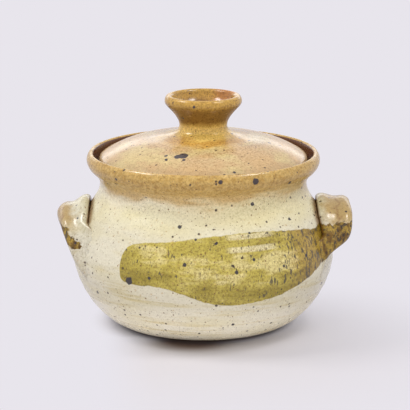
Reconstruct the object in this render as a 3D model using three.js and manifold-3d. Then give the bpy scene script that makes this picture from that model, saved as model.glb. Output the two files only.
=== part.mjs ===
// Lidded stoneware casserole: a thrown pot with two pulled strap handles,
// and a domed lid with a hollow knob that sits in a gallery inside the rim.
// Millimetres, +Z up, origin at the middle of the base, handles along X.

import * as THREE from 'three';
import { mergeVertices } from 'three/addons/utils/BufferGeometryUtils.js';
import Module from 'manifold-3d';

const wasm = await Module();
wasm.setup();

// Pot: foot, belly, shoulder and neck
const footRadius = 58;
const footWidth = 6;
const footRecess = 1.5;
const footBevel = 1.2;
const bellyRadius = 101.1;
const bellyHeight = 56;
const bellyToShoulder = 13.7;
const shoulderRise = 38;
const shoulderToNeck = 7.9;
const neckRise = 17.5;
const shoulderSlope = THREE.MathUtils.degToRad(51);
const wall = 6;
const floorThickness = 7.5;
const floorRadius = 50;

// Rim band and the gallery that the lid sits in
const rimOverhang = 10.5;
const rimUndersideRise = 8.6;
const rimUndersideReach = 5.2;
const rimUndersideSlope = THREE.MathUtils.degToRad(27);
const rimWidestRise = 17.5;
const rimHeight = 23.5;
const lipTopInset = 3.2;
const lipWidth = 5.6;
const galleryDepth = 11.5;
const galleryTaper = 0.8;
const edgeRound = 1.4;

// Lid
const lidClearance = 3.9;
const seatGap = 0.3;
const lidEdgeHeight = 5.2;
const lidSeatWidth = 4.5;
const lidThickness = 6;
const lidShoulderInset = 5.5;
const lidShoulderRise = 5.6;
const lidDomeRise = 12.7;
const lidShoulderSlope = THREE.MathUtils.degToRad(31);
const lidCrownSlope = THREE.MathUtils.degToRad(5);

// Knob
const knobBaseRadius = 30;
const knobBaseEdge = 0.8;
const knobNeckRadius = 18;
const knobNeckRise = 8.6;
const knobLipRadius = 29.8;
const knobLipRise = 26.6;
const knobUnderInset = 4;
const knobUnderDrop = 5.6;
const knobLipSlope = THREE.MathUtils.degToRad(44);
const knobLipRound = 4.9;
const knobLipWidth = 6.2;
const knobCupDepth = 15;

// Strap handles
const handleReach = 13;
const crestBelowNeck = 10.5;
const slotGap = 1.6;
const strapThickness = 8.6;
const crestInset = 0.8;
const bendAngle = THREE.MathUtils.degToRad(42);
const bendLean = 1.5;
const legAngle = THREE.MathUtils.degToRad(76);
const legSpread = 34;
const legThickening = 1;
const archDrop = 25;
const rootFlare = 19;
const rootSpread = 4;
const rootBelowBelly = 1;
const rootProud = 2.5;
const rootThickening = 3;
const rootBite = 12;
const tailSpread = 6;
const tailBelowBelly = 13;
const tailSunk = 3;
const strapRelief = 1.3;
const rootGap = 0.3;
const leftShape = { crestTilt: 11, bendTuck: 3.6, legTuck: 7.5 };
const rightShape = { crestTilt: 4, bendTuck: 0, legTuck: 4.2 };

// Fineness of the faceting
const turns = 64;
const knobTurns = 40;
const stretchLength = 8;
const leastSteps = 3;
const strapSteps = 30;
const sectionSteps = 20;

// Heights and radii that follow from the sizes above
const shoulderRadius = bellyRadius - bellyToShoulder;
const shoulderHeight = bellyHeight + shoulderRise;
const neckRadius = shoulderRadius - shoulderToNeck;
const neckHeight = shoulderHeight + neckRise;
const throatRadius = neckRadius - wall;
const rimRadius = neckRadius + rimOverhang;
const potHeight = neckHeight + rimHeight;
const galleryRadius = rimRadius - lipWidth;
const ledgeHeight = potHeight - galleryDepth;
const lidRadius = galleryRadius - lidClearance;
const lidBottom = ledgeHeight + seatGap;
const lidShoulderRadius = lidRadius - lidShoulderInset;
const lidShoulderHeight = lidBottom + lidEdgeHeight + lidShoulderRise;
const domeTop = lidShoulderHeight + lidDomeRise;
const knobSeatDepth = knobBaseEdge + seatGap;
const knobBottom = domeTop - knobBaseEdge;

const up = new THREE.Vector2(0, 1);
const down = new THREE.Vector2(0, -1);
const inward = new THREE.Vector2(-1, 0);
const outward = new THREE.Vector2(1, 0);

// A smooth stretch of an outline, from the path's end to (x, y). It leaves along
// one direction and arrives along another, with a pull in millimetres at each end.
function flow(path, leave, leavePull, x, y, arrive, arrivePull) {
  const from = path.currentPoint;
  path.bezierCurveTo(
    from.x + leave.x * leavePull,
    from.y + leave.y * leavePull,
    x - arrive.x * arrivePull,
    y - arrive.y * arrivePull,
    x,
    y,
  );
}

function direction(angle, sign = 1) {
  return new THREE.Vector2(sign * Math.cos(angle), Math.sin(angle));
}

// The outside of the pot from its foot up to the narrowest part of the neck
function drawOutside(path) {
  const leaning = direction(shoulderSlope, -1);
  path.lineTo(footRadius, 0);
  path.lineTo(footRadius + footBevel, footBevel);
  const bellyPull = 0.4 * (bellyHeight - footBevel);
  const footPull = 0.48 * (bellyRadius - footRadius);
  flow(path, outward, footPull, bellyRadius, bellyHeight, up, bellyPull);
  flow(path, up, 0.31 * shoulderRise, shoulderRadius, shoulderHeight, leaning, 0.22 * shoulderRise);
  flow(path, leaning, 0.57 * neckRise, neckRadius, neckHeight, up, 0.32 * neckRise);
}

// Points along an outline: the ends of its straight lines, and steps along its curves
function outlinePoints(path) {
  const points = [path.curves[0].getPoint(0)];
  for (const curve of path.curves) {
    const curveSteps = Math.max(leastSteps, Math.round(curve.getLength() / stretchLength));
    const steps = curve.isLineCurve ? 1 : curveSteps;
    points.push(...curve.getPoints(steps).slice(1));
  }
  return points;
}

// Turns an outline of radius and height about the upright axis
function turned(outline, segments) {
  const geometry = new THREE.LatheGeometry(outline, segments);
  geometry.rotateX(Math.PI / 2);
  return geometry;
}

function welded(geometry) {
  const copy = geometry.clone();
  copy.deleteAttribute('normal');
  copy.deleteAttribute('uv');
  return mergeVertices(copy, 1e-4);
}

function toSolid(geometry) {
  const shell = welded(geometry);
  const corners = shell.index.array;
  const faces = [];
  for (let i = 0; i < corners.length; i += 3) {
    const [a, b, c] = corners.slice(i, i + 3);
    if (a !== b && b !== c && c !== a) {
      faces.push(a, b, c);
    }
  }
  const mesh = new wasm.Mesh({
    numProp: 3,
    vertProperties: new Float32Array(shell.attributes.position.array),
    triVerts: new Uint32Array(faces),
  });
  return new wasm.Manifold(mesh);
}

function toGeometry(solid) {
  const mesh = solid.getMesh();
  const geometry = new THREE.BufferGeometry();
  geometry.setAttribute('position', new THREE.BufferAttribute(mesh.vertProperties, 3));
  geometry.setIndex(new THREE.BufferAttribute(mesh.triVerts, 1));
  return geometry;
}

// Pot body: one wall from the foot to the rim, with the gallery turned inside the rim
function potBodyGeometry() {
  const path = new THREE.Path();
  const footInside = footRadius - footWidth;
  path.moveTo(0, footRecess);
  path.lineTo(footInside - footRecess, footRecess);
  path.lineTo(footInside, 0);
  drawOutside(path);

  const rimSlope = direction(rimUndersideSlope);
  const underX = neckRadius + rimUndersideReach;
  const underY = neckHeight + rimUndersideRise;
  const widestY = neckHeight + rimWidestRise;
  const bandRise = rimWidestRise - rimUndersideRise;
  const lipRise = rimHeight - rimWidestRise;
  flow(path, up, 0.35 * rimUndersideRise, underX, underY, rimSlope, 0.24 * rimUndersideRise);
  flow(path, rimSlope, 0.43 * bandRise, rimRadius, widestY, up, 0.29 * bandRise);
  const topX = rimRadius - lipTopInset;
  flow(path, up, 0.47 * lipRise, topX, potHeight, inward, 0.28 * lipTopInset);
  const lipInnerY = potHeight - 2 * edgeRound;
  flow(path, inward, edgeRound, galleryRadius, lipInnerY, down, edgeRound);

  path.lineTo(galleryRadius - galleryTaper, ledgeHeight + edgeRound);
  const ledgeOuter = galleryRadius - galleryTaper - edgeRound;
  flow(path, down, edgeRound / 2, ledgeOuter, ledgeHeight, inward, edgeRound / 2);
  path.lineTo(throatRadius + edgeRound, ledgeHeight);
  const throatTop = ledgeHeight - edgeRound;
  flow(path, inward, edgeRound / 2, throatRadius, throatTop, down, edgeRound / 2);
  path.lineTo(throatRadius, neckHeight);

  const widening = direction(shoulderSlope, -1).negate();
  const insideShoulderX = shoulderRadius - wall * Math.sin(shoulderSlope);
  const insideShoulderY = shoulderHeight - wall * Math.cos(shoulderSlope);
  const insideBelly = bellyRadius - wall;
  flow(path, down, 0.34 * neckRise, insideShoulderX, insideShoulderY, widening, 0.57 * neckRise);
  flow(path, widening, 0.22 * shoulderRise, insideBelly, bellyHeight, down, 0.31 * shoulderRise);
  const wellPull = 0.45 * (bellyHeight - floorThickness);
  const floorPull = 0.6 * (insideBelly - floorRadius);
  flow(path, down, wellPull, floorRadius, floorThickness, inward, floorPull);
  path.lineTo(0, floorThickness);
  return turned(outlinePoints(path), turns);
}

// The solid that a handle is cut back from: the pot's outside, made larger by the gap
function potEnvelope() {
  const path = new THREE.Path();
  path.moveTo(0, 0);
  drawOutside(path);
  path.lineTo(0, neckHeight);
  const outline = outlinePoints(path);
  const grown = outline.map((point, i) => {
    if (point.x === 0) {
      return point.clone();
    }
    const before = outline[Math.max(i - 1, 1)];
    const after = outline[Math.min(i + 1, outline.length - 2)];
    const along = after.clone().sub(before).normalize();
    return new THREE.Vector2(point.x + along.y * rootGap, point.y - along.x * rootGap);
  });
  return toSolid(turned(grown, turns));
}

// Lid: a dome that is hollow below, on a flat ring that rests on the ledge.
// A shallow round seat in its top takes the knob, so that the two surfaces run on.
function lidGeometry() {
  const path = new THREE.Path();
  const seatInner = lidRadius - edgeRound - lidSeatWidth;
  const hollowTop = domeTop - knobSeatDepth - lidThickness;
  const hollowRun = seatInner - knobNeckRadius;
  const seatRoundTop = lidBottom + edgeRound;
  path.moveTo(0, hollowTop);
  path.lineTo(knobNeckRadius, hollowTop);
  const falling = new THREE.Vector2(Math.cos(lidShoulderSlope), -Math.sin(lidShoulderSlope));
  flow(path, outward, 0.42 * hollowRun, seatInner, seatRoundTop, falling, 0.25 * hollowRun);
  path.lineTo(seatInner + edgeRound / 2, lidBottom);
  path.lineTo(lidRadius - edgeRound, lidBottom);
  flow(path, outward, edgeRound / 2, lidRadius, seatRoundTop, up, edgeRound / 2);
  path.lineTo(lidRadius, lidBottom + lidEdgeHeight);
  const rising = direction(lidShoulderSlope, -1);
  const crown = direction(lidCrownSlope, -1);
  const risePull = 0.54 * lidShoulderRise;
  const insetPull = 0.58 * lidShoulderInset;
  flow(path, up, risePull, lidShoulderRadius, lidShoulderHeight, rising, insetPull);
  const seatEdge = knobBaseRadius + seatGap;
  const domeRun = lidShoulderRadius - seatEdge;
  flow(path, rising, 0.38 * domeRun, seatEdge, domeTop, crown, 0.31 * domeRun);
  path.lineTo(seatEdge, domeTop - knobSeatDepth);
  path.lineTo(0, domeTop - knobSeatDepth);
  return turned(outlinePoints(path), turns);
}

// Knob: a flared base, a narrow neck and a thick round lip around a hollow cup
function knobGeometry() {
  const path = new THREE.Path();
  const neckY = domeTop + knobNeckRise;
  const lipY = domeTop + knobLipRise;
  const cupRadius = knobLipRadius - knobLipWidth;
  path.moveTo(0, knobBottom);
  path.lineTo(knobBaseRadius, knobBottom);
  path.lineTo(knobBaseRadius, domeTop);
  const crown = direction(lidCrownSlope, -1);
  const flarePull = 0.75 * (knobBaseRadius - knobNeckRadius);
  flow(path, crown, flarePull, knobNeckRadius, neckY, up, 0.52 * knobNeckRise);
  const opening = direction(knobLipSlope);
  const underX = knobLipRadius - knobUnderInset;
  const underY = lipY - knobUnderDrop;
  const neckPull = 0.32 * (underY - neckY);
  const underPull = 0.61 * knobUnderDrop;
  flow(path, up, neckPull, underX, underY, opening, underPull);
  flow(path, opening, underPull, knobLipRadius, lipY, up, 0.36 * knobUnderDrop);
  const topX = (knobLipRadius + cupRadius) / 2;
  const lipPull = 0.24 * knobLipWidth;
  flow(path, up, 0.59 * knobLipRound, topX, lipY + knobLipRound, inward, lipPull);
  flow(path, inward, lipPull, cupRadius, lipY + knobLipRound / 2, down, lipPull);
  const cupFloor = lipY + knobLipRound - knobCupDepth;
  flow(path, down, 0.33 * knobCupDepth, 0, cupFloor, inward, 0.7 * cupRadius);
  return turned(outlinePoints(path), knobTurns);
}

// Radius of the pot's outside at a height, found by stepping along its outline
function outsideRadius(height) {
  const path = new THREE.Path();
  path.moveTo(0, 0);
  drawOutside(path);
  const outline = path.getPoints(24);
  const i = outline.findIndex((point, k) => k > 2 && point.y >= height);
  const [low, high] = [outline[i - 1], outline[i]];
  return low.x + ((high.x - low.x) * (height - low.y)) / (high.y - low.y);
}

// X of the pot's outside at a height, for a point that lies aside by y
function outsideX(y, height) {
  const radius = outsideRadius(height);
  return Math.sqrt(radius * radius - y * y);
}

// The strap is set out at five places, from the crest down one leg. Each has its
// middle line (y, z), its inner and outer edge (x), its thickness, and how far its
// outer face spreads along the wall where the clay was smoothed down. From the leg
// down, the inner edge bites into the wall, and the pot cuts the strap back there.
function strapPlaces(bendTuck, legTuck) {
  const crestTop = neckHeight - crestBelowNeck;
  const crestZ = crestTop - strapThickness / 2;
  const slotEdge = outsideRadius(crestTop - strapThickness) + slotGap;
  const outer = bellyRadius + handleReach;
  const leg = archPlace(legAngle, crestZ);
  const root = { y: legSpread + rootSpread, z: bellyHeight - rootBelowBelly };
  const tail = { y: legSpread + tailSpread, z: bellyHeight - tailBelowBelly };
  const legX = outsideX(leg.y, leg.z);
  const rootX = outsideX(root.y, root.z);
  const tailX = outsideX(tail.y, tail.z);
  const rootThickness = strapThickness + rootThickening;
  return [
    {
      y: 0,
      z: crestZ,
      inner: slotEdge,
      outer: outer - crestInset,
      thick: strapThickness,
      flare: 0,
    },
    {
      ...archPlace(bendAngle, crestZ),
      inner: slotEdge - bendLean,
      outer: outer - bendTuck,
      thick: strapThickness,
      flare: 0.1 * rootFlare,
    },
    {
      ...leg,
      inner: legX - rootBite,
      outer: outer - legTuck,
      thick: strapThickness + legThickening,
      flare: rootFlare,
    },
    {
      ...root,
      inner: rootX - rootBite,
      outer: rootX + rootProud,
      thick: rootThickness,
      flare: rootFlare,
    },
    {
      ...tail,
      inner: tailX - rootBite,
      outer: tailX - tailSunk,
      thick: rootThickness,
      flare: rootFlare,
    },
  ];
}

// A place on the arch's round part, at an angle from its crest
function archPlace(angle, crestZ) {
  return { y: legSpread * Math.sin(angle), z: crestZ - archDrop * (1 - Math.cos(angle)) };
}

// One handle on the +X side: a closed loft of sections along the arch, cut by the pot.
// The crest tilts down outwards, and its outer edge is tucked in at the bends and legs.
function handleGeometry({ crestTilt, bendTuck, legTuck }) {
  const half = strapPlaces(bendTuck, legTuck);
  const near = half.slice(1).reverse().map((place) => ({ ...place, y: -place.y }));
  const places = [...near, ...half];
  const arch = new THREE.CatmullRomCurve3(
    places.map((place) => new THREE.Vector3(0, place.y, place.z)),
    false,
    'catmullrom',
  );
  const edges = new THREE.CatmullRomCurve3(
    places.map((place) => new THREE.Vector3(place.inner, place.outer, place.thick)),
    false,
    'catmullrom',
  );
  const flares = new THREE.CatmullRomCurve3(
    places.map((place) => new THREE.Vector3(place.flare, 0, 0)),
    false,
    'catmullrom',
  );

  const positions = [];
  const place = new THREE.Vector3();
  for (let i = 0; i <= strapSteps; i += 1) {
    const t = i / strapSteps;
    const middle = arch.getPoint(t);
    const along = arch.getTangent(t);
    const away = new THREE.Vector3(0, -along.z, along.y);
    const { x: inner, y: outer, z: thick } = edges.getPoint(t);
    const flare = flares.getPoint(t).x;
    const crestShare = Math.sin(Math.PI * t) ** 4;
    for (let k = 0; k < sectionSteps; k += 1) {
      const angle = (2 * Math.PI * k) / sectionSteps;
      const across = roundedShare(Math.cos(angle));
      const through = roundedShare(Math.sin(angle));
      const towardsWall = 0.5 - 0.5 * across;
      const outerFace = Math.max(through, 0);
      const spread = outerFace * (strapRidges(across) + flare * towardsWall ** 2);
      const tilt = -crestTilt * crestShare * (1 - towardsWall);
      const offset = (through * thick) / 2 + spread + tilt;
      place.copy(middle).addScaledVector(away, offset);
      positions.push((inner + outer) / 2 + (across * (outer - inner)) / 2, place.y, place.z);
    }
  }
  const loft = closedLoft(positions, strapSteps + 1, sectionSteps);
  return toGeometry(toSolid(loft).subtract(potEnvelope()));
}

// Squares up a circle's sine or cosine, so that a section becomes a rounded bar
function roundedShare(value) {
  return Math.sign(value) * Math.abs(value) ** 0.72;
}

// Two ridges with a valley between them run along the strap's outer face
function strapRidges(across) {
  return -strapRelief * Math.cos(1.6 * Math.PI * (across + 0.08));
}

// Joins equal rings of points into one closed skin, with a fan over each end
function closedLoft(positions, rings, perRing) {
  const faces = [];
  for (let i = 0; i < rings - 1; i += 1) {
    for (let k = 0; k < perRing; k += 1) {
      const a = i * perRing + k;
      const b = i * perRing + ((k + 1) % perRing);
      faces.push(a, a + perRing, b, b, a + perRing, b + perRing);
    }
  }
  const last = (rings - 1) * perRing;
  for (let k = 1; k < perRing - 1; k += 1) {
    faces.push(0, k, k + 1);
    faces.push(last, last + k + 1, last + k);
  }
  const geometry = new THREE.BufferGeometry();
  geometry.setAttribute('position', new THREE.Float32BufferAttribute(positions, 3));
  geometry.setIndex(faces);
  return geometry;
}

const creamGlaze = new THREE.MeshStandardMaterial({ color: '#d8cfae', roughness: 0.35, metalness: 0 });
const strapGlaze = new THREE.MeshStandardMaterial({ color: '#cfc09a', roughness: 0.35, metalness: 0 });
const ochreGlaze = new THREE.MeshStandardMaterial({ color: '#c8a66e', roughness: 0.4, metalness: 0 });
const amberGlaze = new THREE.MeshStandardMaterial({ color: '#ad7c3a', roughness: 0.3, metalness: 0 });

function piece(name, geometry, material) {
  const mesh = new THREE.Mesh(geometry, material);
  mesh.name = name;
  return mesh;
}

const handleLeft = piece('handle_left', handleGeometry(leftShape), strapGlaze);
handleLeft.rotation.z = Math.PI;
const handleRight = piece('handle_right', handleGeometry(rightShape), strapGlaze);

const pot = new THREE.Group();
pot.add(piece('pot_body', potBodyGeometry(), creamGlaze), handleLeft, handleRight);

const lid = new THREE.Group();
lid.add(piece('lid_dome', lidGeometry(), ochreGlaze));
lid.add(piece('lid_knob', knobGeometry(), amberGlaze));

const casserole = new THREE.Group();
casserole.add(pot, lid);

export default casserole;
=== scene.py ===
# %% [markdown]
# A lidded stoneware casserole. The pot and lid were thrown on a wheel, so they are
# round forms with one outline each. The handles were pulled as soft straps and pressed
# on while the clay was wet. Everything is in metres, +Z up, with the handles along X
# and the front of the pot facing -Y.

# %% Load the frame
import math

import bmesh
import bpy
from mathutils import Matrix, Vector
from mathutils.kdtree import KDTree


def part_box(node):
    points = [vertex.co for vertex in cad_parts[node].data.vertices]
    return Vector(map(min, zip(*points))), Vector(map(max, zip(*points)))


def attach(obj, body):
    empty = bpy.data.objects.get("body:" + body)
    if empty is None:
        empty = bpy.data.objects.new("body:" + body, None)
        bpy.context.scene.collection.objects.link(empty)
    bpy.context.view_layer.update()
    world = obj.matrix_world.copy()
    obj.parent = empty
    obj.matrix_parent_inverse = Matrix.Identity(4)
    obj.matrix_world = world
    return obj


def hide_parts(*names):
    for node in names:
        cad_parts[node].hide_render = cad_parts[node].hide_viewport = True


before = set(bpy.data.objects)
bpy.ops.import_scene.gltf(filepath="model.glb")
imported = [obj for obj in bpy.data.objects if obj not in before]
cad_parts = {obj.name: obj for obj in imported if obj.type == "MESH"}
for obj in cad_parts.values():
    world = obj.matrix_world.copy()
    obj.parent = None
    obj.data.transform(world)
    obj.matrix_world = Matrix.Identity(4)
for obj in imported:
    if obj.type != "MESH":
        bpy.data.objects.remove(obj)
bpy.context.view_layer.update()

MM = 0.001


# %% [markdown]
# The camera stands far back with a long lens, a little above the table, as a product
# photographer would place it. A long lens keeps the rim's ellipse flat and the sides
# of the pot upright.

# %% Camera
CAMERA_PLACE = Vector((0, -1.5064, 0.4594))
CAMERA_AIM = Vector((0.00132, 0.00334, 0.0909))
LENS_MM = 175.6

camera = bpy.data.objects.new("camera", bpy.data.cameras.new("camera"))
camera.data.lens = LENS_MM
camera.data.sensor_width = 36
camera.location = CAMERA_PLACE
camera.rotation_euler = (CAMERA_AIM - CAMERA_PLACE).to_track_quat("-Z", "Y").to_euler()
bpy.context.scene.collection.objects.link(camera)
bpy.context.scene.camera = camera
bpy.context.scene.view_settings.view_transform = "Standard"


# %% [markdown]
# Colours are written as a painter's eye sees them on a screen, from 0 to 255, and have
# to be turned into linear light before a shader can use them.

# %% Colour helper
def screen(red, green, blue):
    """A screen colour as the linear RGBA that a shader socket takes."""
    def linear(level):
        share = level / 255
        return share / 12.92 if share <= 0.04045 else ((share + 0.055) / 1.055) ** 2.4
    return (linear(red), linear(green), linear(blue), 1)


# %% [markdown]
# A look is a small graph of nodes. This class gives each kind of node a short name, so
# that a glaze or a sky can be written as a recipe. Any input may be a number, a colour or
# the output of another node.

# %% Recipe helper
class Recipe:
    """Builds the node graph of one material or world."""

    def __init__(self, owner):
        owner.use_nodes = True
        self.owner = owner
        self.tree = owner.node_tree

    def node(self, kind, inputs=(), **settings):
        made = self.tree.nodes.new(kind)
        for key, value in settings.items():
            setattr(made, key, value)
        for key, value in dict(inputs).items():
            self.feed(made.inputs[key], value)
        return made

    def feed(self, socket, value):
        if isinstance(value, bpy.types.NodeSocket):
            self.tree.links.new(value, socket)
        else:
            socket.default_value = value

    def math(self, operation, *values):
        made = self.node("ShaderNodeMath", enumerate(values), operation=operation)
        return made.outputs[0]

    def times(self, first, *others):
        """The product of two or more values."""
        for other in others:
            first = self.math("MULTIPLY", first, other)
        return first

    def plus(self, first, second):
        return self.math("ADD", first, second)

    def minus(self, first, second):
        return self.math("SUBTRACT", first, second)

    def vector(self, operation, *values):
        made = self.node("ShaderNodeVectorMath", enumerate(values), operation=operation)
        return made.outputs["Value" if operation in ("DISTANCE", "LENGTH") else "Vector"]

    def seen(self):
        """1 for rays that the camera sees, straight or in a reflection, and 0 for light."""
        rays = self.node("ShaderNodeLightPath").outputs
        shown = self.math("MAXIMUM", rays["Is Camera Ray"], rays["Is Glossy Ray"])
        return self.math("MAXIMUM", shown, rays["Is Transmission Ray"])

    def step(self, value, low, high, start=0.0, end=1.0):
        """Runs smoothly from start to end as value goes from low to high."""
        inputs = {"Value": value, "From Min": low, "From Max": high}
        inputs.update({"To Min": start, "To Max": end})
        made = self.node("ShaderNodeMapRange", inputs, interpolation_type="SMOOTHSTEP", clamp=True)
        return made.outputs[0]

    def band(self, value, start, full, fade, end):
        """1 from full to fade, running smoothly down to 0 at start and at end."""
        return self.times(self.step(value, start, full), self.step(value, end, fade))

    def blend(self, share, first, second):
        """Mixes two colours."""
        made = self.node("ShaderNodeMix", data_type="RGBA", clamp_factor=True)
        self.feed(made.inputs[0], share)
        self.feed(made.inputs[6], first)
        self.feed(made.inputs[7], second)
        return made.outputs[2]

    def tint(self, colour, share, tint):
        """Multiplies a colour by a tint, as far as share says."""
        return self.vector("MULTIPLY", colour, self.blend(share, (1, 1, 1, 1), (*tint, 1)))

    def noise(self, vector, size, detail=2.0, roughness=0.5):
        """Soft noise from 0 to 1 whose lumps are about size metres across."""
        inputs = {"Vector": vector, "Scale": 1 / size, "Detail": detail, "Roughness": roughness}
        return self.node("ShaderNodeTexNoise", inputs).outputs["Fac"]

    def stretch(self, vector, x, y, z):
        return self.node("ShaderNodeMapping", {"Vector": vector, "Scale": (x, y, z)}).outputs[0]

    def curve(self, value, points, bottom, top):
        """A smooth curve through (value, result) points, both in their own units."""
        low, high = points[0][0], points[-1][0]
        made = self.node("ShaderNodeFloatCurve")
        line = made.mapping.curves[0]
        scaled = [((x - low) / (high - low), (y - bottom) / (top - bottom)) for x, y in points]
        line.points[0].location = scaled[0]
        line.points[1].location = scaled[-1]
        for place in scaled[1:-1]:
            line.points.new(*place)
        made.mapping.use_clip = False
        made.mapping.update()
        inputs = {"Value": value, "From Min": low, "From Max": high}
        self.feed(made.inputs["Value"], self.node("ShaderNodeMapRange", inputs).outputs[0])
        result = {"Value": made.outputs[0], "To Min": bottom, "To Max": top}
        return self.node("ShaderNodeMapRange", result, clamp=False).outputs[0]


# %% [markdown]
# Floor and backdrop. The pot stands on seamless paper: a floor that curves up into a
# wall behind it. The paper catches the pot's soft shadow. A share of glow, seen only by
# the camera and in reflections, holds the rest of the paper at the pale tone that it should
# have, without any more light on the pot.

# %% Paper form
PAPER_HALF_WIDTH = 3.0
PAPER_FRONT = -2.6
PAPER_BEND = 1.6
PAPER_TOP = 3.2
PAPER_BEND_RADIUS = 0.9
PAPER_BEND_STEPS = 16

form = bmesh.new()
paper_edge = [form.verts.new((-PAPER_HALF_WIDTH, y, 0)) for y in (PAPER_FRONT, PAPER_BEND)]
form.edges.new(paper_edge)
bmesh.ops.spin(
    form,
    geom=[paper_edge[1]],
    cent=(0, PAPER_BEND, PAPER_BEND_RADIUS),
    axis=(1, 0, 0),
    angle=math.radians(90),
    steps=PAPER_BEND_STEPS,
)
wall_top = bmesh.ops.extrude_vert_indiv(form, verts=[max(form.verts, key=lambda v: v.co.z)])
wall_top["verts"][0].co.z = PAPER_TOP
swept = bmesh.ops.extrude_edge_only(form, edges=form.edges[:])
far_side = [item for item in swept["geom"] if isinstance(item, bmesh.types.BMVert)]
bmesh.ops.translate(form, verts=far_side, vec=(2 * PAPER_HALF_WIDTH, 0, 0))
bmesh.ops.recalc_face_normals(form, faces=form.faces[:])
paper_mesh = bpy.data.meshes.new("paper")
form.to_mesh(paper_mesh)
form.free()
for face in paper_mesh.polygons:
    face.use_smooth = True
paper = bpy.data.objects.new("paper", paper_mesh)
bpy.context.scene.collection.objects.link(paper)
print("paper:", len(paper_mesh.polygons), "faces")

# %% [markdown]
# The light comes more from the left, so the pot's soft shadow is short on the left and
# runs far out on the right. The glow starts at a place in front of the pot and grows with
# the distance from it, and a step to the left counts for more than one to the right. Just
# under the front of the pot a contact shadow is painted into the paper in a deep, warm
# tone, warm because the clay throws back the little light that gets in there.

# %% Shadow on the paper
SHADOW_MIDDLE = (-0.027, -0.084, 0)
SHADOW_LEFT = -3.67
SHADOW_RIGHT = 0.63
SHADOW_FORWARD = 0.8
GLOW_START, GLOW_FULL = 0.012, 0.188
FOOT_SHADE, FOOT_CLEAR = 0.06, 0.09


def glow_share(look, place):
    """0 in the middle of the shadow and around the foot, and 1 out on the pale paper."""
    from_middle = look.vector("SUBTRACT", place, SHADOW_MIDDLE)
    aside, ahead = look.node("ShaderNodeSeparateXYZ", {0: from_middle}).outputs[:2]
    to_right = look.times(aside, SHADOW_RIGHT)
    aside = look.math("MAXIMUM", to_right, look.times(aside, SHADOW_LEFT))
    ahead = look.times(ahead, SHADOW_FORWARD)
    flat = look.node("ShaderNodeCombineXYZ", {0: aside, 1: ahead}).outputs[0]
    far = look.step(look.vector("LENGTH", flat), GLOW_START, GLOW_FULL)
    from_foot = look.step(look.vector("LENGTH", place), FOOT_SHADE, FOOT_CLEAR)
    return look.math("MINIMUM", far, from_foot)


# %% Paper look
PAPER_SEEN = screen(232, 229, 236)
PAPER_TONE = screen(196, 192, 196)
# The contact tone is a painted shadow on the paper, just under the front of the pot.
PAINTED_CONTACT_SHADOW = screen(124, 106, 98)
CONTACT_MIDDLE = (-0.008, -0.06, 0)
CONTACT_STRETCH = (0.8, 1, 1)
CONTACT_FULL, CONTACT_END = 0.01, 0.031

paper_look = Recipe(bpy.data.materials.new("paper"))
place = paper_look.node("ShaderNodeTexCoord").outputs["Object"]
from_contact = paper_look.vector("SUBTRACT", place, CONTACT_MIDDLE)
from_contact = paper_look.vector("MULTIPLY", from_contact, CONTACT_STRETCH)
from_contact = paper_look.vector("LENGTH", from_contact)
# Painted shadow: the paper turns to the contact tone near the front of the foot.
painted_shadow = paper_look.step(from_contact, CONTACT_END, CONTACT_FULL)
sheet = paper_look.tree.nodes["Principled BSDF"]
paper_look.feed(sheet.inputs["Base Color"], paper_look.blend(painted_shadow, PAPER_TONE, PAINTED_CONTACT_SHADOW))
sheet.inputs["Roughness"].default_value = 0.9
sheet.inputs["Specular IOR Level"].default_value = 0.1
glow = paper_look.node("ShaderNodeEmission", {"Color": PAPER_SEEN})
share = paper_look.times(paper_look.seen(), glow_share(paper_look, place))
mixed = paper_look.node("ShaderNodeMixShader", {0: share, 1: sheet.outputs[0], 2: glow.outputs[0]})
paper_look.feed(paper_look.tree.nodes["Material Output"].inputs["Surface"], mixed.outputs[0])
paper_mesh.materials.append(paper_look.owner)
print("paper look:", len(paper_look.tree.nodes), "nodes")


# %% [markdown]
# Light. A photographer lights glossy pottery with soft boxes in bright surroundings. The
# surroundings are bright above and behind, and dim low down in front, which darkens the
# shadow that the pot stands in. The lamps give the highlights and lift the front.

# %% Surroundings
BRIGHT_ABOVE = 0.8
DIM_IN_FRONT = 0.06
LEAN_BACK = 0.8
DIM_BELOW, BRIGHT_FROM = -0.7, 0.6

surroundings = Recipe(bpy.data.worlds.new("studio"))
bpy.context.scene.world = surroundings.owner
toward = surroundings.node("ShaderNodeTexCoord").outputs["Generated"]
split = surroundings.node("ShaderNodeSeparateXYZ", {0: toward}).outputs
height = surroundings.math("MULTIPLY_ADD", split["Y"], LEAN_BACK, split["Z"])
level = surroundings.step(height, DIM_BELOW, BRIGHT_FROM, DIM_IN_FRONT, BRIGHT_ABOVE)
lit = surroundings.node("ShaderNodeBackground", {"Color": (1, 1, 1, 1), "Strength": level})
backdrop = surroundings.node("ShaderNodeBackground", {"Color": PAPER_SEEN})
inputs = {0: surroundings.seen(), 1: lit.outputs[0], 2: backdrop.outputs[0]}
mixed = surroundings.node("ShaderNodeMixShader", inputs)
surroundings.feed(surroundings.tree.nodes["World Output"].inputs["Surface"], mixed.outputs[0])
print("surroundings:", len(surroundings.tree.nodes), "nodes")

# %% [markdown]
# The two boxes above show as the white highlights on the knob and shoulders. The wide one
# behind gives the haze along the far side of the lid. The two in front only lift the shade
# on the belly: the glaze would mirror them as hard streaks, so they are left out of
# reflections.

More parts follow.
